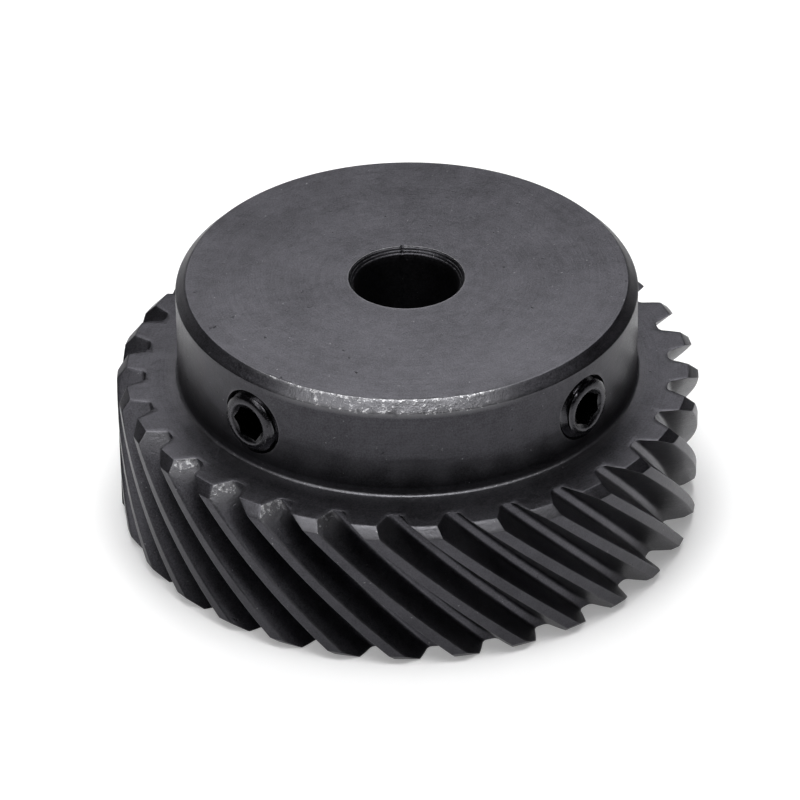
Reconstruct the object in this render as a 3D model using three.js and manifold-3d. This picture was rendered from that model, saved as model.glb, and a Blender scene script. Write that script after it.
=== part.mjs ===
// Left-hand helical gear with a set-screw hub, for crossed or parallel shafts.
// Millimetres, +Z up. The origin is on the bore's axis, at the gear's back face: the toothed rim
// stands on z = 0 and the hub rises from it. Three pieces: the gear, turned and hobbed from one
// bar, and two socket set screws in radial tapped holes of the hub, 90 degrees apart.
import * as THREE from "three";
import { mergeVertices } from "three/addons/utils/BufferGeometryUtils.js";
import Module from "manifold-3d";

const degrees = THREE.MathUtils.degToRad;

// Teeth
const NORMAL_MODULE = 1;
const TEETH = 30;
const HELIX_ANGLE = degrees(45); // at the pitch circle
const NORMAL_PRESSURE_ANGLE = degrees(20);
const DEDENDUM = 1.25 * NORMAL_MODULE;
const BACKLASH = 0.05; // taken off each tooth's transverse thickness
const ROOT_FILLET = 0.45 * NORMAL_MODULE; // height of the rounding at the root
const TOOTH_PHASE = degrees(4.95); // from +X to the middle of a tooth, on the back face

// Gear body
const FACE_WIDTH = 12;
const TOOTH_CHAMFER = 0.75; // 45 degrees, turned on both ends of the blank
const HUB_DIAMETER = 35;
const HUB_LENGTH = 8;
const HUB_CHAMFER = 0.75;
const HUB_FILLET = 0.4; // the turning tool's nose radius, where the hub meets the rim's face
const BORE_DIAMETER = 8;
const BORE_CHAMFER = 0.4;

// Tapped holes, and M5 set screws with a hexagon socket and a cup point
const TAPPED_HOLE_DIAMETER = 5.1;
const TAPPED_HOLE_HEIGHT = FACE_WIDTH + 3.75;
const HOLE_COUNTERSINK = 0.15;
const SCREW_DIAMETER = 4.9;
const SCREW_LENGTH = 10;
const SCREW_CHAMFER = 0.6; // round the socket end
const SCREW_PROTRUSION = 0.45; // the socket end stands this far proud of the hub
const SOCKET_ACROSS_FLATS = 2.5;
const SOCKET_DEPTH = 3;
const CUP_DIAMETER = 2.5;
const CUP_DEPTH = 0.7;

// Each screw's azimuth is about +Z, from -Y. Its socket is turned about the screw's own axis.
const SCREW_PLACES = [
  { name: "set_screw_front", azimuth: 0, socketTurn: 0 },
  { name: "set_screw_left", azimuth: degrees(-90), socketTurn: degrees(30) },
];

// Facets
const TWIST_STEPS = 7;
const FLANK_STEPS = 3;
const BODY_SEGMENTS = 4 * TEETH;
const BORE_SEGMENTS = 48;
const SCREW_SEGMENTS = 32;
const FILLET_STEPS = 3;
const CUT_MARGIN = 1; // how far a cutting solid runs past the surface that it cuts

const transverseModule = NORMAL_MODULE / Math.cos(HELIX_ANGLE);
const transversePressureAngle = Math.atan(Math.tan(NORMAL_PRESSURE_ANGLE) / Math.cos(HELIX_ANGLE));
const pitchRadius = (transverseModule * TEETH) / 2;
const baseRadius = pitchRadius * Math.cos(transversePressureAngle);
const tipRadius = pitchRadius + NORMAL_MODULE;
const rootRadius = pitchRadius - DEDENDUM;
const hubRadius = HUB_DIAMETER / 2;
const totalHeight = FACE_WIDTH + HUB_LENGTH;
const twistPerLength = -Math.tan(HELIX_ANGLE) / pitchRadius; // negative: left-hand

const wasm = await Module();
wasm.setup();

// A closed three.js geometry as a manifold-3d solid.
function solidOf(geometry) {
  const bare = geometry.clone();
  bare.deleteAttribute("normal");
  bare.deleteAttribute("uv");
  const merged = mergeVertices(bare);
  return new wasm.Manifold(
    new wasm.Mesh({
      numProp: 3,
      vertProperties: merged.attributes.position.array,
      triVerts: new Uint32Array(merged.index.array),
    }),
  );
}

// A manifold-3d solid as a three.js geometry.
function geometryOf(solid) {
  const mesh = solid.getMesh();
  const geometry = new THREE.BufferGeometry();
  geometry.setAttribute("position", new THREE.BufferAttribute(mesh.vertProperties, 3));
  geometry.setIndex(new THREE.BufferAttribute(mesh.triVerts, 1));
  geometry.computeVertexNormals();
  return geometry;
}

// A solid of revolution about +Z from [radius, z] points, listed from its lower end to its upper.
function turned(profile, segments) {
  const points = profile.map(([radius, z]) => new THREE.Vector2(radius, z));
  return new THREE.LatheGeometry(points, segments).rotateX(Math.PI / 2);
}

function onCircle(radius, angle) {
  return new THREE.Vector2(radius * Math.cos(angle), radius * Math.sin(angle));
}

function involute(angle) {
  return Math.tan(angle) - angle;
}

// Half of a tooth's angular thickness at a radius, in the transverse plane.
function halfToothAngle(radius) {
  const atPitch = ((Math.PI * transverseModule) / 2 - BACKLASH) / (2 * pitchRadius);
  return atPitch + involute(transversePressureAngle) - involute(Math.acos(baseRadius / radius));
}

// One flank, from the middle of the root gap up to the tip: side is -1 before the tooth and 1
// after it.
function flankPoints(toothAngle, side) {
  const flankStart = rootRadius + ROOT_FILLET;
  const fillet = new THREE.QuadraticBezierCurve(
    onCircle(rootRadius, toothAngle + (side * Math.PI) / TEETH),
    onCircle(rootRadius, toothAngle + side * halfToothAngle(rootRadius)),
    onCircle(flankStart, toothAngle + side * halfToothAngle(flankStart)),
  );
  const points = fillet.getPoints(2);
  for (let i = 1; i <= FLANK_STEPS; i++) {
    const radius = THREE.MathUtils.lerp(flankStart, tipRadius, i / FLANK_STEPS);
    points.push(onCircle(radius, toothAngle + side * halfToothAngle(radius)));
  }
  return points;
}

// The transverse section of all the teeth, at the back face.
function toothSection() {
  const outline = [];
  for (let tooth = 0; tooth < TEETH; tooth++) {
    const toothAngle = TOOTH_PHASE + (tooth * 2 * Math.PI) / TEETH;
    const before = flankPoints(toothAngle, -1);
    const after = flankPoints(toothAngle, 1).reverse();
    after.pop(); // the middle of the next gap, where the next tooth starts
    outline.push(...before, ...after);
  }
  return new THREE.Shape(outline);
}

// The teeth as a prism that turns steadily from the back face to the front face.
function toothedDisc() {
  const disc = new THREE.ExtrudeGeometry(toothSection(), {
    depth: FACE_WIDTH,
    steps: TWIST_STEPS,
    bevelEnabled: false,
  });
  const position = disc.attributes.position;
  const point = new THREE.Vector3();
  const axis = new THREE.Vector3(0, 0, 1);
  for (let i = 0; i < position.count; i++) {
    point.fromBufferAttribute(position, i);
    point.applyAxisAngle(axis, twistPerLength * point.z);
    position.setXYZ(i, point.x, point.y, point.z);
  }
  return disc;
}

// The blank that the teeth are cut in. Its two cones leave the chamfers on the tooth ends.
function blank() {
  const widest = tipRadius + CUT_MARGIN;
  const endRadius = tipRadius - TOOTH_CHAMFER - CUT_MARGIN;
  return turned(
    [
      [0, -CUT_MARGIN],
      [endRadius, -CUT_MARGIN],
      [widest, TOOTH_CHAMFER + CUT_MARGIN],
      [widest, FACE_WIDTH - TOOTH_CHAMFER - CUT_MARGIN],
      [endRadius, FACE_WIDTH + CUT_MARGIN],
      [0, FACE_WIDTH + CUT_MARGIN],
    ],
    BODY_SEGMENTS,
  );
}

// The hub, with a chamfered rim and a small fillet at its foot. It reaches down into the disc.
function hub() {
  const foot = FACE_WIDTH / 2;
  const footRadius = hubRadius + HUB_FILLET;
  const fillet = [];
  for (let i = 0; i <= FILLET_STEPS; i++) {
    const angle = (-Math.PI / 2) * (1 + i / FILLET_STEPS);
    const radius = footRadius + HUB_FILLET * Math.cos(angle);
    const z = FACE_WIDTH + HUB_FILLET + HUB_FILLET * Math.sin(angle);
    fillet.push([radius, z]);
  }
  return turned(
    [
      [0, foot],
      [footRadius, foot],
      ...fillet,
      [hubRadius, totalHeight - HUB_CHAMFER],
      [hubRadius - HUB_CHAMFER, totalHeight],
      [0, totalHeight],
    ],
    BODY_SEGMENTS,
  );
}

// The space of the bore and of the chamfers at its two mouths.
function bore() {
  const radius = BORE_DIAMETER / 2;
  const mouthRadius = radius + BORE_CHAMFER + CUT_MARGIN;
  return turned(
    [
      [0, -CUT_MARGIN],
      [mouthRadius, -CUT_MARGIN],
      [radius, BORE_CHAMFER],
      [radius, totalHeight - BORE_CHAMFER],
      [mouthRadius, totalHeight + CUT_MARGIN],
      [0, totalHeight + CUT_MARGIN],
    ],
    BORE_SEGMENTS,
  );
}

// The space of one tapped hole, from inside the bore out through the hub, along its own +Z.
function tappedHole() {
  const radius = TAPPED_HOLE_DIAMETER / 2;
  const innerEnd = BORE_DIAMETER / 4;
  return turned(
    [
      [0, innerEnd],
      [radius, innerEnd],
      [radius, hubRadius - HOLE_COUNTERSINK],
      [radius + HOLE_COUNTERSINK + CUT_MARGIN, hubRadius + CUT_MARGIN],
      [0, hubRadius + CUT_MARGIN],
    ],
    SCREW_SEGMENTS,
  );
}

// A holder whose contents point out of the hub, along one tapped hole: their own +Z is outward.
function radialHolder(azimuth) {
  const holder = new THREE.Group();
  holder.rotation.set(Math.PI / 2, 0, azimuth, "ZYX");
  holder.position.z = TAPPED_HOLE_HEIGHT;
  holder.updateMatrixWorld(true);
  return holder;
}

function gear(material) {
  let body = solidOf(toothedDisc()).intersect(solidOf(blank()));
  body = body.add(solidOf(hub())).subtract(solidOf(bore()));
  for (const place of SCREW_PLACES) {
    const hole = tappedHole().applyMatrix4(radialHolder(place.azimuth).matrixWorld);
    body = body.subtract(solidOf(hole));
  }
  const mesh = new THREE.Mesh(geometryOf(body), material);
  mesh.name = "gear";
  return mesh;
}

// A set screw along +Z: its socket end is at z = 0 and its cup point at z = -SCREW_LENGTH.
function setScrew(place, material) {
  const radius = SCREW_DIAMETER / 2;
  const cupRadius = CUP_DIAMETER / 2;
  const shank = turned(
    [
      [0, CUP_DEPTH - SCREW_LENGTH],
      [cupRadius, -SCREW_LENGTH],
      [radius, radius - cupRadius - SCREW_LENGTH],
      [radius, -SCREW_CHAMFER],
      [radius - SCREW_CHAMFER, 0],
      [0, 0],
    ],
    SCREW_SEGMENTS,
  );
  const cornerRadius = SOCKET_ACROSS_FLATS / Math.sqrt(3);
  const socket = turned(
    [
      [0, -SOCKET_DEPTH - cornerRadius / 2],
      [cornerRadius, -SOCKET_DEPTH],
      [cornerRadius, CUT_MARGIN],
      [0, CUT_MARGIN],
    ],
    6,
  );
  socket.rotateZ(place.socketTurn);
  const mesh = new THREE.Mesh(geometryOf(solidOf(shank).subtract(solidOf(socket))), material);
  mesh.name = place.name;
  mesh.position.z = hubRadius + SCREW_PROTRUSION;
  return mesh;
}

const gearSteel = new THREE.MeshStandardMaterial({ color: 0x2c2b30, roughness: 0.45, metalness: 0.6 });
const screwSteel = new THREE.MeshStandardMaterial({ color: 0x242327, roughness: 0.38, metalness: 0.7 });

const assembly = new THREE.Group();
assembly.add(gear(gearSteel));
for (const place of SCREW_PLACES) {
  const holder = radialHolder(place.azimuth);
  holder.add(setScrew(place, screwSteel.clone()));
  assembly.add(holder);
}

export default assembly;
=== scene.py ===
"""Helical gear with a set-screw hub: black-oxide steel, hobbed teeth and two M5 socket set screws.

Shapes are worked out in millimetres in the part's frame, and become metres when a mesh is made.
A tapped hole has its own coordinates: across and up as seen from outside, and out from the axis.
"""

import math

import bmesh
import bpy
import numpy as np
from mathutils import Matrix, Vector, noise


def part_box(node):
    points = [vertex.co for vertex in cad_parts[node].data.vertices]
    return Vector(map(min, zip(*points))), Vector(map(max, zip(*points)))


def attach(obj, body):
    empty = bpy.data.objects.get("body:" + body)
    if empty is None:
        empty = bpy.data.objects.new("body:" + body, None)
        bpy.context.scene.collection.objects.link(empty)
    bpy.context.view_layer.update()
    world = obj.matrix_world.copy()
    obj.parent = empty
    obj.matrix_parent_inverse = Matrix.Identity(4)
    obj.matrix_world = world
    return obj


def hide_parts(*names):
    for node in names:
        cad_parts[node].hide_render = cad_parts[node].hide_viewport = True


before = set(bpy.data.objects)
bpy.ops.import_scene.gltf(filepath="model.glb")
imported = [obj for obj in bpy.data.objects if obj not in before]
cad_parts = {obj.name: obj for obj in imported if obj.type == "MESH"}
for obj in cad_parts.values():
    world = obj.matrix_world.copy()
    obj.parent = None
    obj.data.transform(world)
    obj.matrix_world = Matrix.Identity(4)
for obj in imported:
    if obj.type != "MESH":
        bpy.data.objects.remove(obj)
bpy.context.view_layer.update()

MM = 0.001
TURN = 2 * math.pi

# Teeth
TEETH = 30
MODULE = 1.0  # in the section square to the tooth
HELIX = math.radians(45)
PRESSURE = math.radians(20)
DEDENDUM = 1.25 * MODULE
BACKLASH = 0.05
ROOT_ROUNDING = 0.36  # how high the rounded corner at the root goes
TOOTH_PHASE = math.radians(4.95)  # of a tooth at the back face, from +X
FACE_WIDTH = 12.0
TOOTH_CHAMFER = 0.75

# Hub and bore
HUB_RADIUS = 17.5
HUB_CHAMFER = 0.75
HUB_FILLET = 0.22  # at the hub's foot
BORE_RADIUS = 4.0
BORE_CHAMFER = 0.4
BORE_LEAD = 0.55  # how deep the chamfer at the hub's end goes
TOOL_MARK = 0.025  # how deep the rings are that the tool left on that chamfer
NICK_COLUMN = 23  # where a nick crosses it, in steps of 2 degrees
NICK_REACH = 1.025  # how far out it goes, in the chamfer's radii

# M5 threads and sockets
PITCH = 0.8
HOLE_MAJOR = 2.53
HOLE_MINOR = 2.1
HUB_MOUTH = 2.61  # a tapped hole's radius where it opens in the hub's wall
BORE_MOUTH = 2.57  # and where it opens in the bore
SCREW_MAJOR = 2.45
SCREW_MINOR = 2.02
SCREW_CHAMFER = 0.7  # how far the rounded socket end draws in
SCREW_CHAMFER_DEPTH = 0.7  # and how far along the screw it starts
SOCKET_FLATS = 2.5
SOCKET_DEPTH = 3.0
SOCKET_LEAD_RADIUS = 1.65  # of the cone that leads into the hexagon
DRILL_LEDGE = 0.1  # how far the drilled bottom is below the hexagon's
DRILL_RADIUS = 0.6  # the drilled cone's radius and depth, in the hexagon's corner radii
DRILL_CONE = 0.35
CUP_RADIUS = 1.25
CUP_DEPTH = 0.7

# Edges
EDGE_ROUNDING = 0.04
ROUNDED_FROM = math.radians(30)  # the least angle between the faces at a rounded edge
SHARP_FROM = math.radians(40)  # and at an edge that is shaded as a sharp one

# Fineness of the meshes
HUB_SEGMENTS = 720
BORE_SEGMENTS = 180
PATCH_SIDE = 42  # faces along each side of the square that surrounds a hole
PATCH_HALF_HEIGHT = 3.0  # of that square
ROWS_PER_PITCH = 10
SCREW_SIDES = 96

# Wear and painted highlights, from 0 to 1, which lighten the steel. A stretch is its middle azimuth, the
# degrees either side of it that get the full amount, and the degrees over which it then fades. Azimuths
# go from -Y towards +X.
EDGE_WEAR = 0.35
CHAMFER_TOP_STRETCH = (-57, 22, 22)
CHAMFER_FOOT_STRETCH = (-54, 8, 12)
CHAMFER_FOOT_WEAR = 0.9
CHAMFER_STRETCH = (-52, 18, 20)
CHAMFER_WEAR_AND_HIGHLIGHT = 0.7
FACET_STRETCH = (-47, 18, 25)
FACET_HIGHLIGHT = 0.5
FLANK_STRETCH = (-86, 14, 28)
FLANK_WEAR_DEPTH = 1.8  # how far down from the teeth's ends at the hub
HUB_FOOT_HIGHLIGHT = 0.7
BORE_MOUTH_HIGHLIGHT = 0.6
CHIPPED_FROM = 0.55  # the wear and painted highlight above which an edge is also chipped
CHIP_DEPTH = 0.09

# Painted shade: how much darker than the plain faces a face is painted, where 1 is black
FLANK_SHADE = 0.3
LAND_SHADE = (0.55, 0.25)  # at the back end of the teeth and at the hub's end
WALL_SHADE = 0.38
FOOT_REFLECTION_SHADE = 0.25  # what the painted reflection of the dark web at the hub's foot adds to the wall's painted shade
FOOT_REFLECTION_HEIGHT = 15.1  # of the painted reflection's uneven upper border, on average
FOOT_REFLECTION_FADE = 0.55  # the height over which the painted reflection fades out there
BORE_LEAD_SHADE = 0.5
BORE_SHADE = 0.3
HOLE_SHADE = 0.75
SOCKET_SHADE = 0.75
SHOULDER_SHADE = 0.3

# Colours, and how rough the steel is
GEAR_TINT = (0.079, 0.0775, 0.087)
SCREW_TINT = (0.05, 0.049, 0.054)
GEAR_ROUGHNESS = 0.40
SCREW_ROUGHNESS = 0.21
# Painted shade darkens towards the first of these colours; wear and painted highlights lighten towards
# the second.
SHADE_BLACK = (0.011, 0.011, 0.012, 1)
RUBBED_AND_HIGHLIT_STEEL = (0.24, 0.24, 0.25, 1)
BARE_STEEL = (0.45, 0.45, 0.46, 1)
PIT_BLACK = (0.02, 0.02, 0.022, 1)

# Stage, in degrees and metres
FRONT_AZIMUTH = -48.4  # from which the lights' azimuths are measured
CAMERA_AZIMUTH = FRONT_AZIMUTH + 0.11
CAMERA_ELEVATION = 33.66
CAMERA_DISTANCE = 0.41203
CAMERA_TILT = -0.66  # about its own axis
CAMERA_LENS = 241.8
CAMERA_AIM_SIDEWAYS = 0.0006  # how far left of the gear's axis the camera points
CAMERA_AIM_HEIGHT = 0.00884
LIGHT_AIM = Vector((0, 0, 0.01))
FLOOR_SIZE = 6.0
FLOOR_GAP = 0.00005  # keeps the floor off the gear's back face

TOTAL_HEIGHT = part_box("gear")[1].z / MM
PITCH_RADIUS = MODULE / math.cos(HELIX) * TEETH / 2
TIP_RADIUS = PITCH_RADIUS + MODULE
ROOT_RADIUS = PITCH_RADIUS - DEDENDUM
CROWN_RADIUS = TIP_RADIUS - TOOTH_CHAMFER  # where a tooth's chamfer meets the end face
TWIST = -math.tan(HELIX) / PITCH_RADIUS  # radians for each millimetre of height

# Where rings with different numbers of points meet on the flat faces
WEB_RADIUS = ROOT_RADIUS - 0.4
WEB_SEAM = WEB_RADIUS - 0.3
BORE_SEAM_INNER = 5.5
BORE_SEAM_OUTER = 6.0


# ---------------------------------------------------------------- mesh building

class Shell:
    """Collects patches of points and faces in millimetres, and welds them into one mesh."""

    def __init__(self):
        self.points = []
        self.faces = []

    def add(self, points):
        """Returns the number of the first of the points."""
        start = len(self.points)
        self.points.extend(np.asarray(points, float).reshape(-1, 3).tolist())
        return start

    def grid(self, rows, closed=False, hole=None):
        """Faces between rows of points. hole(i, j) is true for the faces to leave out."""
        rows = np.asarray(rows, float)
        count, width = rows.shape[:2]
        start = self.add(rows)
        for i in range(count - 1):
            for j in range(width if closed else width - 1):
                if hole and hole(i, j):
                    continue
                k = (j + 1) % width
                a = start + i * width
                b = a + width
                self.faces.append((a + j, a + k, b + k, b + j))

    def fan(self, centre, edge):
        """Triangles between a closed edge and one point."""
        middle = self.add([centre])
        start = self.add(edge)
        count = len(edge)
        for j in range(count):
            self.faces.append((middle, start + j, start + (j + 1) % count))

    def zipper(self, ring_a, ring_b):
        """Triangles between two flat rings about the axis that have different numbers of points."""
        angle_a = np.unwrap(np.arctan2(ring_a[:, 1], ring_a[:, 0]))
        angle_b = np.arctan2(ring_b[:, 1], ring_b[:, 0])
        first = int(np.argmin(np.abs(np.exp(1j * angle_b) - np.exp(1j * angle_a[0]))))
        ring_b = np.roll(ring_b, -first, axis=0)
        angle_b = np.unwrap(np.roll(angle_b, -first))
        angle_b += TURN * round((angle_a[0] - angle_b[0]) / TURN)
        ahead_a = np.append(angle_a[1:], [angle_a[0] + TURN, np.inf])
        ahead_b = np.append(angle_b[1:], [angle_b[0] + TURN, np.inf])
        start_a, start_b = self.add(ring_a), self.add(ring_b)
        count_a, count_b = len(ring_a), len(ring_b)
        i = j = 0
        while i < count_a or j < count_b:
            corner_a = start_a + i % count_a
            corner_b = start_b + j % count_b
            if ahead_a[i] <= ahead_b[j]:
                self.faces.append((corner_a, start_a + (i + 1) % count_a, corner_b))
                i += 1
            else:
                self.faces.append((corner_a, start_b + (j + 1) % count_b, corner_b))
                j += 1

    def mesh(self, name):
        data = bpy.data.meshes.new(name)
        data.from_pydata((np.array(self.points) * MM).tolist(), [], self.faces)
        work = bmesh.new()
        work.from_mesh(data)
        bmesh.ops.remove_doubles(work, verts=work.verts, dist=0.0006 * MM)
        bmesh.ops.recalc_face_normals(work, faces=work.faces)
        if work.calc_volume(signed=True) < 0:
            bmesh.ops.reverse_faces(work, faces=work.faces)
        # The surface is closed when every edge has a face on both sides.
        open_edges = sum(len(e.link_faces) != 2 for e in work.edges)
        print(f"{name}: {len(work.faces)} faces, {open_edges} open edges")
        work.to_mesh(data)
        work.free()
        return data


def ring(radius, z, segments):
    """Points round the gear's axis, the first of them towards +X."""
    angle = np.arange(segments) * TURN / segments
    return np.stack([radius * np.cos(angle), radius * np.sin(angle), np.full(segments, z)], -1)


def rings(profile, segments):
    """Rows of a turned surface, from (radius, height) pairs."""
    return np.array([ring(radius, z, segments) for radius, z in profile])


# ---------------------------------------------------------------- the toothed rim

def involute(angle):
    return math.tan(angle) - angle


def half_tooth(radius):
    """Half a tooth's angular thickness at a radius."""
    pressure = math.atan(math.tan(PRESSURE) / math.cos(HELIX))
    base = PITCH_RADIUS * math.cos(pressure)
    at_pitch = (math.pi * MODULE / math.cos(HELIX) / 2 - BACKLASH) / (2 * PITCH_RADIUS)
    return at_pitch + involute(pressure) - involute(math.acos(base / radius))


def half_section():
    """(angle from the tooth's middle, radius) from the middle of a gap to the middle of a land."""
    corner = half_tooth(ROOT_RADIUS)
    start = corner + ROOT_ROUNDING / ROOT_RADIUS
    top = ROOT_RADIUS + ROOT_ROUNDING
    section = [(angle, ROOT_RADIUS) for angle in np.linspace(math.pi / TEETH, start, 3)]
    for t in np.linspace(0, 1, 5)[1:]:
        angle = (1 - t) ** 2 * start + 2 * t * (1 - t) * corner + t**2 * half_tooth(top)
        section.append((angle, ROOT_RADIUS + t**2 * ROOT_ROUNDING))
    section += [(half_tooth(r), r) for r in np.linspace(top, CROWN_RADIUS, 7)[1:]]
    section += [(half_tooth(r), r) for r in np.linspace(CROWN_RADIUS, TIP_RADIUS, 4)[1:]]
    section += [(angle, TIP_RADIUS) for angle in np.linspace(half_tooth(TIP_RADIUS), 0, 4)[1:]]
    return section


def on_rim(angle, radius, z):
    """A point of the rim, whose section turns with height."""
    turned = angle + TWIST * z
    return np.stack(np.broadcast_arrays(radius * np.cos(turned), radius * np.sin(turned), z), -1)


def rim_sides(shell, section):
    """The roots, flanks and lands, all round and from end to end."""
    mirrored = [(-angle, radius) for angle, radius in section]
    tooth = np.array(mirrored + section[::-1][1:-1])
    middles = TOOTH_PHASE + np.arange(TEETH) * TURN / TEETH
    angle = (middles[:, None] + tooth[:, 0]).ravel()
    radius = np.tile(tooth[:, 1], TEETH)
    cut = np.maximum(radius - CROWN_RADIUS, 0)
    share = np.concatenate([[0, 0.012, 0.03], np.linspace(0.05, 0.95, 37), [0.97, 0.988, 1]])
    z = cut + share[:, None] * (FACE_WIDTH - 2 * cut)
    shell.grid(on_rim(angle, radius, z), closed=True)


def rim_end(shell, section, z_face, inward):
    """One end of the rim: the end and chamfer of every tooth, and the flat face in to the web."""
    radii = np.array([radius for _, radius in section])
    foot = int(np.argmax(radii > ROOT_RADIUS + 0.2 * ROOT_ROUNDING))
    tip = int(np.argmax(radii > TIP_RADIUS - 1e-6))
    across = np.linspace(-1, 1, 7)
    outline = []
    for k in range(TEETH):
        middle = TOOTH_PHASE + k * TURN / TEETH
        tooth_end = []
        for angle, radius in section[foot : tip + 1]:
            z = z_face + inward * max(radius - CROWN_RADIUS, 0)
            tooth_end.append(on_rim(middle + across * angle, radius, np.full(7, z)))
        shell.grid(tooth_end)
        rising = [on_rim(middle - a, r, np.float64(z_face)) for a, r in section[:foot]]
        falling = [on_rim(middle + a, r, np.float64(z_face)) for a, r in section[1:foot]]
        outline += rising + list(tooth_end[0]) + falling[::-1]
    outline = np.array(outline)
    web = outline.copy()
    web[:, :2] *= WEB_RADIUS / np.hypot(outline[:, 0], outline[:, 1])[:, None]
    shell.grid([outline, web], closed=True)
    return web


# ---------------------------------------------------------------- the tapped holes

class Hole:
    """A radial tapped hole of the hub, placed from the CAD screw that stands in it."""

    def __init__(self, node):
        self.node = node
        screw_low, screw_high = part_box(node)
        middle = (screw_low + screw_high) / 2 / MM
        self.height = middle.z
        self.out = np.array([middle.x, middle.y, 0.0]) / math.hypot(middle.x, middle.y)
        self.across = np.cross([0, 0, 1], self.out)
        self.angle = math.atan2(middle.y, middle.x)
        # How far the screw's point and its socket end are from the gear's axis.
        reaches = sorted(abs(v[i]) / MM for v in (screw_low, screw_high) for i in (0, 1))
        self.tip, self.face = reaches[-2:]

    def place(self, across, up, out):
        """Points in the part's frame from the hole's own coordinates."""
        across, up, out = np.broadcast_arrays(across, up, out)
        flat = across[..., None] * self.across + out[..., None] * self.out
        return flat + (up + self.height)[..., None] * np.array([0, 0, 1.0])

    def column(self, segments):
        """Which point of a ring is on the hole's axis."""
        return round(self.angle / TURN * segments) % segments


def thread(phase, major, minor):
    """A 60 degree thread's radius, from its phase along the axis: 0 is the middle of the crest."""
    distance = np.abs((phase + 0.5) % 1 - 0.5) * 2
    return major - (major - minor) * np.clip((distance - 0.125) / 0.625, 0, 1)


def hole_angles():
    """The polar angles round a hole that match the points of the square round it."""
    side = np.arange(PATCH_SIDE) / PATCH_SIDE * TURN / 4
    return np.concatenate([side + k * TURN / 4 for k in range(4)]) - 3 * TURN / 8


def hole_patch(shell, hole, wall_radius, segments, mouth_radius):
    """The wall between a square of the turned surface and the round mouth of the hole."""
    step = TURN / segments
    columns = wall_radius * np.sin(np.arange(-PATCH_SIDE // 2, PATCH_SIDE // 2 + 1) * step)
    rows = np.linspace(-PATCH_HALF_HEIGHT, PATCH_HALF_HEIGHT, PATCH_SIDE + 1)
    square = [(x, rows[0]) for x in columns[:-1]] + [(columns[-1], y) for y in rows[:-1]]
    square += [(x, rows[-1]) for x in columns[:0:-1]] + [(columns[0], y) for y in rows[:0:-1]]
    square = np.array(square)
    angle = hole_angles()
    mouth = mouth_radius * np.stack([np.cos(angle), np.sin(angle)], -1)
    rows = []
    for t in (0, 0.3, 0.6, 0.85, 1):
        point = square * (1 - t) + mouth * t
        rows.append(hole.place(point[:, 0], point[:, 1], np.sqrt(wall_radius**2 - point[:, 0] ** 2)))
    shell.grid(rows, closed=True)


def hole_thread(shell, hole):
    """The hole's threaded wall. Each row of points follows the helix, so the crests stay crisp."""
    angle = np.append(hole_angles(), hole_angles()[0] + TURN)
    outer = np.sqrt(HUB_RADIUS**2 - (HUB_MOUTH * np.cos(angle)) ** 2)
    inner = np.sqrt(BORE_RADIUS**2 - (BORE_MOUTH * np.cos(angle)) ** 2)
    first = math.floor((inner.min() - PITCH) / PITCH) * ROWS_PER_PITCH
    last = math.ceil((outer.max() + PITCH) / PITCH) * ROWS_PER_PITCH
    rows = []
    for i in range(first, last + 1):
        out = i / ROWS_PER_PITCH * PITCH + angle / TURN * PITCH
        out = np.clip(out, inner, outer)
        radius = thread(i / ROWS_PER_PITCH, HOLE_MAJOR, HOLE_MINOR)
        radius = np.maximum(radius, HUB_MOUTH - 0.5 * (outer - out))
        radius = np.maximum(radius, BORE_MOUTH - (out - inner))
        rows.append(hole.place(radius * np.cos(angle), radius * np.sin(angle), out))
    shell.grid(rows)


# ---------------------------------------------------------------- the gear

def patched(holes, segments, first_row):
    """Says which faces of a turned wall make way for the squares round the holes."""
    columns = set()
    for hole in holes:
        middle = hole.column(segments)
        columns |= {(middle + k) % segments for k in range(-PATCH_SIDE // 2, PATCH_SIDE // 2)}
    return lambda i, j: first_row <= i < first_row + PATCH_SIDE and j in columns


def hub_foot(shell, front_web):
    """The web from the teeth in to the hub, and the fillet at the hub's foot."""
    foot = HUB_RADIUS + HUB_FILLET
    shell.zipper(front_web, ring(WEB_SEAM, FACE_WIDTH, HUB_SEGMENTS))
    profile = [(WEB_SEAM, FACE_WIDTH), ((WEB_RADIUS + foot) / 2, FACE_WIDTH)]
    for t in np.linspace(0, TURN / 4, 6):
        radius = foot - HUB_FILLET * math.sin(t)
        profile.append((radius, FACE_WIDTH + HUB_FILLET * (1 - math.cos(t))))
    shell.grid(rings(profile, HUB_SEGMENTS), closed=True)


def hub_outside(shell, holes, hole_rows):
    """The hub's wall, its chamfer, and its end face in to the seam round the bore."""
    shoulder = TOTAL_HEIGHT - HUB_CHAMFER
    heights = [FACE_WIDTH + HUB_FILLET, *hole_rows, shoulder]
    wall = rings([(HUB_RADIUS, z) for z in heights], HUB_SEGMENTS)
    shell.grid(wall, closed=True, hole=patched(holes, HUB_SEGMENTS, first_row=1))
    profile = [(HUB_RADIUS - t, shoulder + t) for t in np.linspace(0, HUB_CHAMFER, 5)]
    edge = HUB_RADIUS - HUB_CHAMFER
    across = (edge - 0.12, edge - 0.3, *np.linspace(edge - 0.6, BORE_SEAM_OUTER, 10))
    profile += [(radius, TOTAL_HEIGHT) for radius in across]
    shell.grid(rings(profile, HUB_SEGMENTS), closed=True)
    outer_ring = ring(BORE_SEAM_OUTER, TOTAL_HEIGHT, HUB_SEGMENTS)
    shell.zipper(outer_ring, ring(BORE_SEAM_INNER, TOTAL_HEIGHT, BORE_SEGMENTS))


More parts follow.
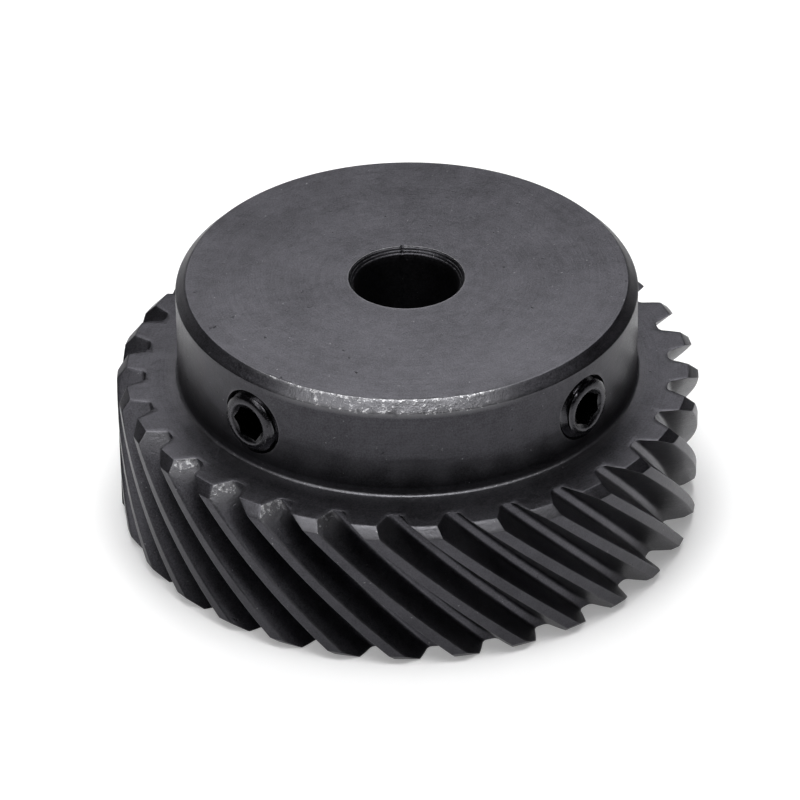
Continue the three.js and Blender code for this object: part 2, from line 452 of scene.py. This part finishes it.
def bore(shell, holes, hole_rows):
    """The bore from its tool-marked chamfer at the hub's end to the plain one at the back."""
    mouth = BORE_RADIUS + BORE_CHAMFER
    profile = [(radius, TOTAL_HEIGHT) for radius in (BORE_SEAM_INNER, mouth + 0.3, mouth + 0.1)]
    for t in np.linspace(0, 1, 13):
        tool_mark = TOOL_MARK * math.sin(3 * TURN * t)
        profile.append((mouth - t * BORE_CHAMFER, TOTAL_HEIGHT - t * BORE_LEAD - tool_mark))
    mouth_rings = rings(profile, BORE_SEGMENTS)
    mouth_rings[3:-1, NICK_COLUMN, :2] *= NICK_REACH
    shell.grid(mouth_rings, closed=True)
    below = np.linspace(BORE_CHAMFER, hole_rows[0], 11)
    heights = [*below[:-1], *hole_rows, TOTAL_HEIGHT - BORE_LEAD]
    wall = rings([(BORE_RADIUS, z) for z in heights], BORE_SEGMENTS)
    shell.grid(wall, closed=True, hole=patched(holes, BORE_SEGMENTS, first_row=len(below) - 1))
    profile = [(BORE_RADIUS, BORE_CHAMFER), (mouth, 0.0), (BORE_SEAM_INNER, 0.0)]
    shell.grid(rings(profile, BORE_SEGMENTS), closed=True)


def back_face(shell, back_web):
    """The flat back, from the bore's mouth out to the teeth."""
    inner_ring = ring(BORE_SEAM_INNER, 0.0, BORE_SEGMENTS)
    shell.zipper(inner_ring, ring(BORE_SEAM_OUTER, 0.0, HUB_SEGMENTS))
    profile = [(radius, 0.0) for radius in np.linspace(BORE_SEAM_OUTER, WEB_SEAM, 12)]
    shell.grid(rings(profile, HUB_SEGMENTS), closed=True)
    shell.zipper(back_web, ring(WEB_SEAM, 0.0, HUB_SEGMENTS))


def gear_shell(holes):
    """The whole gear as one closed surface. Both holes are at the same height."""
    shell = Shell()
    section = half_section()
    hole_rows = holes[0].height + np.linspace(-PATCH_HALF_HEIGHT, PATCH_HALF_HEIGHT, PATCH_SIDE + 1)
    rim_sides(shell, section)
    back_web = rim_end(shell, section, 0.0, 1)
    front_web = rim_end(shell, section, FACE_WIDTH, -1)
    hub_foot(shell, front_web)
    hub_outside(shell, holes, hole_rows)
    bore(shell, holes, hole_rows)
    back_face(shell, back_web)
    for hole in holes:
        hole_patch(shell, hole, HUB_RADIUS, HUB_SEGMENTS, HUB_MOUTH)
        hole_patch(shell, hole, BORE_RADIUS, BORE_SEGMENTS, BORE_MOUTH)
        hole_thread(shell, hole)
    return shell


def in_a_hole(point, holes):
    """True inside the tapped holes and at their mouths."""
    for hole in holes:
        from_axis = math.hypot(point.dot(Vector(hole.across)), point.z - hole.height)
        if point.dot(Vector(hole.out)) > 0 and from_axis < HUB_MOUTH + 0.05:
            return True
    return False


def mark_edges(data, holes):
    """Gives the bevel its edges: every convex corner outside the tapped holes."""
    work = bmesh.new()
    work.from_mesh(data)
    weight = work.edges.layers.float.new("bevel_weight_edge")
    for edge in work.edges:
        if len(edge.link_faces) != 2 or not edge.is_convex or edge.calc_face_angle() < ROUNDED_FROM:
            continue
        middle = (edge.verts[0].co + edge.verts[1].co) / 2 / MM
        if not in_a_hole(middle, holes):
            edge[weight] = 1.0
    work.to_mesh(data)
    work.free()


def applied(piece):
    """Makes the piece's modifiers part of its mesh."""
    bpy.context.view_layer.update()
    evaluated = piece.evaluated_get(bpy.context.evaluated_depsgraph_get())
    data = bpy.data.meshes.new_from_object(evaluated)
    piece.modifiers.clear()
    piece.data = data


def shown(name, data, body, node, material):
    """Shows a mesh in place of a CAD node, on the body that carries it."""
    piece = bpy.data.objects.new(name, data)
    bpy.context.scene.collection.objects.link(piece)
    data.materials.clear()
    data.materials.append(material)
    data.shade_smooth()
    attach(piece, body)
    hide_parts(node)
    return piece


def make_gear(holes, material):
    data = gear_shell(holes).mesh("hobbed_gear")
    mark_edges(data, holes)
    piece = shown("hobbed_gear", data, "gear_body", "gear", material)
    bevel = piece.modifiers.new("rounded edges", "BEVEL")
    bevel.limit_method = "WEIGHT"
    bevel.width = EDGE_ROUNDING * MM
    bevel.segments = 2
    bevel.use_clamp_overlap = False
    applied(piece)
    piece.data.set_sharp_from_angle(angle=SHARP_FROM)
    points, point_normals = points_and_normals(piece.data)
    # The wear attribute also holds painted highlights, and the oxide attribute holds painted shade.
    rubbed_and_lit = knocks_and_highlights(points, point_normals)
    write_attribute(piece.data, "wear_and_highlight", rubbed_and_lit + EDGE_WEAR * standing_out(piece.data))
    write_attribute(piece.data, "painted_shade", shade_of_gear(points, point_normals))
    roughen(piece.data, rubbed_and_lit)
    normals = piece.modifiers.new("face-weighted normals", "WEIGHTED_NORMAL")
    normals.keep_sharp = True


def near(value, middle, slope, flat=0):
    """1 within flat of the middle, then falling smoothly to 0 over slope."""
    share = np.clip(1 - (np.abs(value - middle) - flat) / slope, 0, 1)
    return share**2 * (3 - 2 * share)


def along(points, stretch):
    """1 on a stretch round the gear's axis, and 0 beyond it."""
    middle, flat, slope = stretch
    azimuth = np.degrees(np.arctan2(points[:, 0], -points[:, 1]))
    return near((azimuth - middle + 180) % 360 - 180, 0, slope, flat)


def round_the_axis(points, normals):
    """Each point's radius, and how much its normal points outward and sideways (anticlockwise)."""
    radius = np.hypot(points[:, 0], points[:, 1])
    outward = (points[:, 0] * normals[:, 0] + points[:, 1] * normals[:, 1]) / radius
    sideways = (points[:, 0] * normals[:, 1] - points[:, 1] * normals[:, 0]) / radius
    return radius, outward, sideways


def knocks_and_highlights(points, normals):
    """How much each point is lightened: wear on the hub chamfer's edges and the flanks' ends, wear and a
    painted highlight across the chamfer's front, and painted highlights on the front tooth facets, the
    fillet at the hub's foot and the bore's mouth.
    """
    radius, outward, sideways = round_the_axis(points, normals)
    height = points[:, 2]

    rise = (height - (TOTAL_HEIGHT - HUB_CHAMFER)) / HUB_CHAMFER
    top_edge = near(rise, 1, 0.35) * along(points, CHAMFER_TOP_STRETCH)
    lower_edge = CHAMFER_FOOT_WEAR * near(rise, 0, 0.3) * along(points, CHAMFER_FOOT_STRETCH)
    # Across the chamfer's front: rubbing, and a painted highlight.
    between = CHAMFER_WEAR_AND_HIGHLIGHT * along(points, CHAMFER_STRETCH)
    on_chamfer = (radius > HUB_RADIUS - HUB_CHAMFER - 0.1) & (rise > -0.1)
    chamfer = on_chamfer * np.maximum.reduce([top_edge, lower_edge, between])

    # Painted highlight on the tooth facets at the front.
    on_facet = (radius > CROWN_RADIUS + 0.02) & (outward > 0.5) & (normals[:, 2] > 0.5)
    facet = on_facet * FACET_HIGHLIGHT * along(points, FACET_STRETCH)

    on_flank = (radius > ROOT_RADIUS) * (sideways > 0.4) * near(height, FACE_WIDTH, FLANK_WEAR_DEPTH)
    flank = on_flank * along(points, FLANK_STRETCH)

    # Painted highlight along the fillet at the hub's foot.
    foot = near(radius, HUB_RADIUS + 0.1, 0.25) * near(height, FACE_WIDTH + 0.1, 0.3)
    # Painted highlight round the bore's mouth.
    mouth = near(radius, BORE_RADIUS + BORE_CHAMFER, 0.12) * near(height, TOTAL_HEIGHT, 0.1)
    return np.maximum.reduce([chamfer, facet, flank, HUB_FOOT_HIGHLIGHT * foot, BORE_MOUTH_HIGHLIGHT * mouth])


def stretched_noise(points, size, stretch):
    """Noise from about -1 to 1, with patches of a size in millimetres drawn out sideways."""
    scale = np.array([1, 1, stretch]) / size
    return np.array([noise.noise(Vector(point)) for point in points * scale])


def shade_of_gear(points, normals):
    """How much painted shade each point has: flanks, lands, hub wall, bore and holes are painted darker
    than flat faces.
    """
    radius, _, sideways = round_the_axis(points, normals)
    height = points[:, 2]
    on_rim = (radius > ROOT_RADIUS + 0.05) & (height < FACE_WIDTH - 0.05)
    # Painted shade on the flanks, in the gaps between the teeth.
    flank = FLANK_SHADE * on_rim * np.clip((np.abs(sideways) - 0.2) / 0.3, 0, 1)
    # Painted shade on the lands, darker towards the back end.
    at_back, at_hub = LAND_SHADE
    land = (radius > TIP_RADIUS - 0.08) * (at_hub + (at_back - at_hub) * (1 - height / FACE_WIDTH))

    # The hub's wall has painted shade, and at its foot a painted reflection of the dark web, with an
    # uneven upper border.
    over_foot = height > FACE_WIDTH + HUB_FILLET
    on_wall = (np.abs(radius - HUB_RADIUS) < 0.03) & over_foot
    border = FOOT_REFLECTION_HEIGHT + 0.9 * stretched_noise(points, 4.0, 1.5) + 0.5 * stretched_noise(points, 1.2, 3.0)
    below = np.clip((border - height) / FOOT_REFLECTION_FADE + 0.5, 0, 1)
    wall = on_wall * (WALL_SHADE + FOOT_REFLECTION_SHADE * below)

    # Painted shade in the bore's chamfer, the bore and the tapped holes.
    in_lead = (radius < BORE_RADIUS + BORE_CHAMFER - 0.03) & (radius > BORE_RADIUS + 0.02)
    in_bore = radius < BORE_RADIUS + 0.02
    under_chamfer = over_foot & (height < TOTAL_HEIGHT - HUB_CHAMFER - 0.1)
    in_hole = under_chamfer & (radius < HUB_RADIUS - 0.05) & (radius > BORE_RADIUS + 0.1)
    inside = [BORE_LEAD_SHADE * in_lead, BORE_SHADE * in_bore, HOLE_SHADE * in_hole]
    return np.maximum.reduce([flank, land, wall, *inside])


def points_and_normals(data):
    """A mesh's points in millimetres, and their normals."""
    both = []
    for key in ("co", "normal"):
        values = np.empty(len(data.vertices) * 3)
        data.vertices.foreach_get(key, values)
        both.append(values.reshape(-1, 3))
    return both[0] / MM, both[1]


def write_attribute(data, name, values):
    """Stores a value from 0 to 1 for each point, which the steel's material reads."""
    attribute = data.attributes.new(name, "FLOAT", "POINT")
    attribute.data.foreach_set("value", np.clip(values, 0, 1).astype(np.float32))


def standing_out(data):
    """How far each point stands out of its neighbours, from 0 on a flat face to about 1 on an edge."""
    points, normals = points_and_normals(data)
    ends = np.empty(len(data.edges) * 2, np.int32)
    data.edges.foreach_get("vertices", ends)
    ends = ends.reshape(-1, 2)
    both = np.concatenate([ends, ends[:, ::-1]])
    step = points[both[:, 1]] - points[both[:, 0]]
    length = np.linalg.norm(step, axis=1) + 1e-9
    drop = -(step * normals[both[:, 0]]).sum(1) / length
    total = np.bincount(both[:, 0], drop, len(points))
    degree = np.maximum(np.bincount(both[:, 0], minlength=len(points)), 1)
    return np.clip(total / degree * 3, 0, 1)


def roughen(data, wear_and_highlight):
    """Pushes in, by an uneven few hundredths of a millimetre, the edges where the wear and painted
    highlights are strongest.
    """
    points, normals = points_and_normals(data)
    for i in np.nonzero(wear_and_highlight > CHIPPED_FROM)[0]:
        chip = noise.noise(Vector(points[i] * 2.2)) + 0.6 * noise.noise(Vector(points[i] * 6.0))
        depth = CHIP_DEPTH * max(chip, 0) * (wear_and_highlight[i] - 0.5) * 2
        data.vertices[i].co -= Vector(normals[i]) * depth * MM


# ---------------------------------------------------------------- the set screws

def socket_radius(angle, turn):
    """The hexagon's radius at each angle, with a corner at the angle turn."""
    from_corner = (angle - turn) % (TURN / 6) - TURN / 12
    return SOCKET_FLATS / 2 / np.cos(from_corner)


def screw_thread(shell, hole, angle):
    """The thread, clipped by the rounded socket end and by the cone of the point."""
    rim = SCREW_MAJOR - SCREW_CHAMFER
    first = math.floor((hole.tip - PITCH) / PITCH) * ROWS_PER_PITCH
    last = math.ceil((hole.face + PITCH) / PITCH) * ROWS_PER_PITCH
    rows = []
    for i in range(first, last + 1):
        out = np.clip(i / ROWS_PER_PITCH * PITCH + angle / TURN * PITCH, hole.tip, hole.face)
        round_the_end = np.minimum((hole.face - out) / SCREW_CHAMFER_DEPTH, 1) * TURN / 4
        rounded = hole.face - SCREW_CHAMFER_DEPTH * (1 - np.cos(round_the_end))
        out = np.where(round_the_end < TURN / 4, rounded, out)
        radius = thread(out / PITCH - angle / TURN, SCREW_MAJOR, SCREW_MINOR)
        radius = np.minimum(radius, rim + SCREW_CHAMFER * np.sin(round_the_end))
        radius = np.minimum(radius, CUP_RADIUS + (out - hole.tip))
        rows.append(hole.place(radius * np.cos(angle), radius * np.sin(angle), out))
    shell.grid(rows)


def screw_shell(hole, socket_turn):
    """A socket set screw: its thread, the hexagon socket and the cup at its point."""
    shell = Shell()
    once_round = np.arange(SCREW_SIDES + 1) / SCREW_SIDES * TURN
    screw_thread(shell, hole, once_round)
    angle = once_round[:-1]

    def circle(radius, out):
        return hole.place(radius * np.cos(angle), radius * np.sin(angle), out)

    face = hole.face
    hexagon = socket_radius(angle, socket_turn)
    lead = (SOCKET_LEAD_RADIUS - hexagon) * math.tan(TURN / 12)
    bottom = face - SOCKET_DEPTH
    corner = SOCKET_FLATS / math.sqrt(3)
    drilled = circle(DRILL_RADIUS * corner, bottom - DRILL_LEDGE)
    shell.grid(
        [
            circle(SCREW_MAJOR - SCREW_CHAMFER, face),
            circle(SOCKET_LEAD_RADIUS, face),
            circle((SOCKET_LEAD_RADIUS + hexagon) / 2, face - lead / 2),
            circle(hexagon, face - lead),
            circle(hexagon, face - 0.5 * SOCKET_DEPTH),
            circle(hexagon, bottom),
            drilled,
        ],
        closed=True,
    )
    shell.fan(hole.place(0.0, 0.0, bottom - DRILL_LEDGE - DRILL_CONE * corner), drilled)
    halfway = circle(0.5 * CUP_RADIUS, hole.tip + 0.5 * CUP_DEPTH)
    shell.grid([circle(CUP_RADIUS, hole.tip), halfway], closed=True)
    shell.fan(hole.place(0.0, 0.0, hole.tip + CUP_DEPTH), halfway)
    return shell


def make_screw(hole, name, body, socket_turn, material):
    data = screw_shell(hole, socket_turn).mesh(name)
    shown(name, data, body, hole.node, material)
    write_attribute(data, "wear_and_highlight", EDGE_WEAR * standing_out(data))
    points, _ = points_and_normals(data)
    # Painted shade in the socket, and on the rounded shoulder to dim its highlight.
    from_axis = np.hypot(points @ hole.across, points[:, 2] - hole.height)
    socket = from_axis < SOCKET_LEAD_RADIUS - 0.02
    shoulder = from_axis > SCREW_MAJOR - SCREW_CHAMFER + 0.01
    write_attribute(data, "painted_shade", SOCKET_SHADE * socket + SHOULDER_SHADE * shoulder)
    data.set_sharp_from_angle(angle=SHARP_FROM)


# ---------------------------------------------------------------- materials

class Paint:
    """A node material, built up by short calls that return the new node's first output."""

    def __init__(self, name):
        self.material = bpy.data.materials.new(name)
        self.material.use_nodes = True
        self.tree = self.material.node_tree
        self.shader = self.tree.nodes["Principled BSDF"]

    def put(self, socket, value):
        if isinstance(value, bpy.types.NodeSocket):
            self.tree.links.new(value, socket)
        elif value is not None:
            socket.default_value = value

    def node(self, kind, inputs=(), output=0, **settings):
        made = self.tree.nodes.new(kind)
        for key, value in settings.items():
            setattr(made, key, value)
        for key, value in dict(inputs).items():
            self.put(made.inputs[key], value)
        return made.outputs[output]

    def math(self, operation, a, b=0.0, clamp=False):
        return self.node("ShaderNodeMath", {0: a, 1: b}, operation=operation, use_clamp=clamp)

    def ramp(self, value, low, high, to_low=0.0, to_high=1.0):
        """Goes smoothly from to_low to to_high as the value goes from low to high."""
        inputs = {"Value": value, "From Min": low, "From Max": high, "To Min": to_low, "To Max": to_high}
        return self.node("ShaderNodeMapRange", inputs, interpolation_type="SMOOTHSTEP")

    def noise(self, vector, size, detail=3.0, roughness=0.5):
        """Noise with features of a size in millimetres."""
        inputs = {"Vector": vector, "Scale": 1 / size, "Detail": detail, "Roughness": roughness}
        return self.node("ShaderNodeTexNoise", inputs)

    def mix(self, share, a, b):
        made = self.tree.nodes.new("ShaderNodeMix")
        made.data_type = "RGBA"
        self.put(made.inputs["Factor"], share)
        self.put(made.inputs["A"], a)
        self.put(made.inputs["B"], b)
        return made.outputs["Result"]

    def bump(self, height, distance, normal=None):
        """distance is the height in millimetres that a change of 1 stands for."""
        inputs = {"Height": height, "Distance": distance * MM, "Strength": 1.0}
        if normal is not None:
            inputs["Normal"] = normal
        return self.node("ShaderNodeBump", inputs)

    def spread(self, value, amount):
        """Noise, whose values are mostly from 0.3 to 0.7, made to go from -amount to amount."""
        return self.ramp(value, 0.3, 0.7, -amount, amount)

    def attribute(self, name):
        return self.node("ShaderNodeAttribute", output="Fac", attribute_name=name)

    def millimetres(self):
        """Where a point is on its mesh, in millimetres."""
        place = self.node("ShaderNodeTexCoord", output="Object")
        return self.node("ShaderNodeVectorMath", {0: place, "Scale": 1 / MM}, operation="SCALE")

    def lathe_lines(self, place, spacing):
        """Fine rings about the gear's axis, on faces and round walls alike."""
        parts = self.tree.nodes.new("ShaderNodeSeparateXYZ")
        self.put(parts.inputs[0], place)
        x2 = self.math("MULTIPLY", parts.outputs["X"], parts.outputs["X"])
        y2 = self.math("MULTIPLY", parts.outputs["Y"], parts.outputs["Y"])
        radius = self.math("SQRT", self.math("ADD", x2, y2))
        ring_place = self.node("ShaderNodeCombineXYZ", {"X": radius, "Y": parts.outputs["Z"]})
        # A little of the true place is added, so that no ring is the same all the way round.
        drift = self.node("ShaderNodeVectorMath", {0: place, "Scale": 0.012}, operation="SCALE")
        ring_place = self.node("ShaderNodeVectorMath", {0: ring_place, 1: drift}, operation="ADD")
        return self.noise(ring_place, spacing, detail=2.0)


def oxide_colour_and_shade(paint, tint, clouds, blotches, grain, rings):
    """The oxide's own colour: clouds and blotches, and a grain of darker and lighter points, then
    darkened by the painted shade.
    """
    tone = paint.math("ADD", paint.spread(clouds, 0.12), paint.spread(blotches, 0.08))
    tone = paint.math("ADD", tone, paint.spread(grain, 0.24))
    tone = paint.math("ADD", tone, paint.spread(rings, 0.06))
    tone = paint.math("ADD", tone, 1.0)
    dark = tuple(0.5 * c for c in tint)
    light = tuple(1.5 * c for c in tint)
    colour = paint.mix(paint.math("SUBTRACT", tone, 0.5, clamp=True), (*dark, 1), (*light, 1))
    # Painted shade: the faces that the mesh marks are darkened towards black.
    return paint.mix(paint.attribute("painted_shade"), colour, SHADE_BLACK)


def bare_metal(paint, place, patches, worn_and_lit):
    """1 where the oxide has gone: flecks where the wear and painted highlights are strong, and a few
    specks anywhere.
    """
    above = paint.math("SUBTRACT", patches, paint.ramp(worn_and_lit, 0.0, 1.0, 0.81, 0.49))
    flecks = paint.ramp(above, 0.0, 0.10)
    specks = paint.ramp(paint.noise(place, 0.3, detail=1.0), 0.75, 0.83, 0.0, 0.3)
    return paint.math("MAXIMUM", flecks, specks)


def steel(name, tint, roughness):
    """Black-oxide steel: a fine grain over turning marks, rubbed and flecked where it is worn, with
    painted highlights and painted shade read from the mesh's attributes.
    """
    paint = Paint(name)
    place = paint.millimetres()
    clouds = paint.noise(place, 5.0, detail=4.0, roughness=0.6)
    blotches = paint.noise(place, 0.9, detail=3.0, roughness=0.6)
    grain = paint.noise(place, 0.13, detail=2.0, roughness=0.7)
    rings = paint.lathe_lines(place, 0.1)
    patches = paint.noise(place, 0.4, detail=4.0, roughness=0.75)
    pits = paint.ramp(paint.noise(place, 0.55, detail=2.0), 0.20, 0.27, 1.0, 0.0)
    worn_and_lit = paint.attribute("wear_and_highlight")
    bare = bare_metal(paint, place, patches, worn_and_lit)

    colour = oxide_colour_and_shade(paint, tint, clouds, blotches, grain, rings)
    # Rubbed steel where the edges are worn, and painted highlights in the same colour.
    colour = paint.mix(paint.math("MULTIPLY", worn_and_lit, 0.6), colour, RUBBED_AND_HIGHLIT_STEEL)
    colour = paint.mix(bare, colour, BARE_STEEL)
    colour = paint.mix(paint.math("MULTIPLY", pits, 0.7), colour, PIT_BLACK)
    paint.put(paint.shader.inputs["Base Color"], colour)

    rough = paint.ramp(grain, 0.3, 0.7, roughness - 0.06, roughness + 0.06)
    rough = paint.math("ADD", rough, paint.spread(clouds, 0.03))
    rough = paint.math("SUBTRACT", rough, paint.math("MULTIPLY", bare, 0.08))
    paint.put(paint.shader.inputs["Roughness"], rough)
    paint.shader.inputs["Metallic"].default_value = 1.0

    relief = paint.bump(rings, 0.005)
    relief = paint.bump(grain, 0.012, relief)
    relief = paint.bump(blotches, 0.02, relief)
    relief = paint.bump(paint.math("MULTIPLY", patches, worn_and_lit), 0.06, relief)
    relief = paint.bump(pits, -0.05, relief)
    paint.put(paint.shader.inputs["Normal"], relief)
    return paint.material


# ---------------------------------------------------------------- the stage

def seen_from(azimuth, elevation, distance):
    """A place round the gear: azimuth is in degrees from -Y, towards +X."""
    a = math.radians(azimuth)
    e = math.radians(elevation)
    return Vector((math.sin(a) * math.cos(e), -math.cos(a) * math.cos(e), math.sin(e))) * distance


def softbox(name, azimuth, elevation, distance, size, power):
    """A square light that faces the gear. Its azimuth is measured from the front, to the right."""
    data = bpy.data.lights.new(name, "AREA")
    data.shape = "SQUARE"
    data.size = size
    data.energy = power
    light = bpy.data.objects.new(name, data)
    bpy.context.scene.collection.objects.link(light)
    light.location = seen_from(FRONT_AZIMUTH + azimuth, elevation, distance)
    light.rotation_euler = (LIGHT_AIM - light.location).to_track_quat("-Z", "Y").to_euler()


def make_camera():
    """A long lens from above, turned slightly, so that the gear stands low in the frame."""
    data = bpy.data.cameras.new("camera")
    data.sensor_width = 36.0
    data.lens = CAMERA_LENS
    data.clip_start = 0.01
    camera = bpy.data.objects.new("camera", data)
    bpy.context.scene.collection.objects.link(camera)
    sideways = seen_from(FRONT_AZIMUTH - 90, 0, CAMERA_AIM_SIDEWAYS)
    aim = sideways + Vector((0, 0, CAMERA_AIM_HEIGHT))
    back = seen_from(CAMERA_AZIMUTH, CAMERA_ELEVATION, CAMERA_DISTANCE)
    camera.location = aim + back
    upright = (-back).to_track_quat("-Z", "Y").to_matrix()
    tilt = Matrix.Rotation(math.radians(CAMERA_TILT), 3, "Z")
    camera.rotation_euler = (upright @ tilt).to_euler()
    bpy.context.scene.camera = camera


def make_floor():
    """A pale floor that glows a little, so that it stays pale under the gear's soft shadow."""
    data = bpy.data.meshes.new("floor")
    half = FLOOR_SIZE / 2
    corners = [(-half, -half, 0), (half, -half, 0), (half, half, 0), (-half, half, 0)]
    data.from_pydata(corners, [], [(0, 1, 2, 3)])
    floor = bpy.data.objects.new("floor", data)
    bpy.context.scene.collection.objects.link(floor)
    paint = Paint("pale floor")
    paint.shader.inputs["Base Color"].default_value = (0.85, 0.85, 0.85, 1)
    paint.shader.inputs["Roughness"].default_value = 0.8
    paint.shader.inputs["Emission Color"].default_value = (1, 1, 1, 1)
    paint.shader.inputs["Emission Strength"].default_value = 0.24
    data.materials.append(paint.material)
    floor.location.z = -FLOOR_GAP


def make_lights():
    """A ceiling, windows and lamps on both sides, and two small boxes close above the gear."""
    world = bpy.data.worlds.new("studio")
    bpy.context.scene.world = world
    world.use_nodes = True
    background = world.node_tree.nodes["Background"]
    background.inputs["Color"].default_value = (0.87, 0.82, 1.0, 1)
    background.inputs["Strength"].default_value = 0.025
    softbox("ceiling", azimuth=0, elevation=88, distance=1.0, size=0.5, power=3.0)
    softbox("left window", azimuth=-60, elevation=60, distance=1.0, size=0.5, power=1.15)
    softbox("right window", azimuth=60, elevation=60, distance=1.0, size=0.5, power=0.72)
    softbox("low left lamp", azimuth=-46, elevation=38, distance=1.0, size=0.35, power=1.1)
    softbox("low right lamp", azimuth=42, elevation=37, distance=1.0, size=0.2, power=0.37)
    softbox("far left glow", azimuth=-135, elevation=12, distance=1.0, size=0.5, power=0.2)
    softbox("back box", azimuth=180, elevation=60, distance=0.15, size=0.1, power=0.1)
    softbox("front box", azimuth=0, elevation=75, distance=0.15, size=0.1, power=0.09)


holes = [Hole("set_screw_front"), Hole("set_screw_left")]
gear_steel = steel("gear_steel", tint=GEAR_TINT, roughness=GEAR_ROUGHNESS)
screw_steel = steel("screw_steel", tint=SCREW_TINT, roughness=SCREW_ROUGHNESS)
make_gear(holes, gear_steel)
make_screw(holes[0], "front_socket_screw", "front_screw", math.radians(90), screw_steel)
make_screw(holes[1], "left_socket_screw", "left_screw", 0.0, screw_steel)
make_floor()
make_lights()
make_camera()
bpy.context.scene.view_settings.view_transform = "Standard"
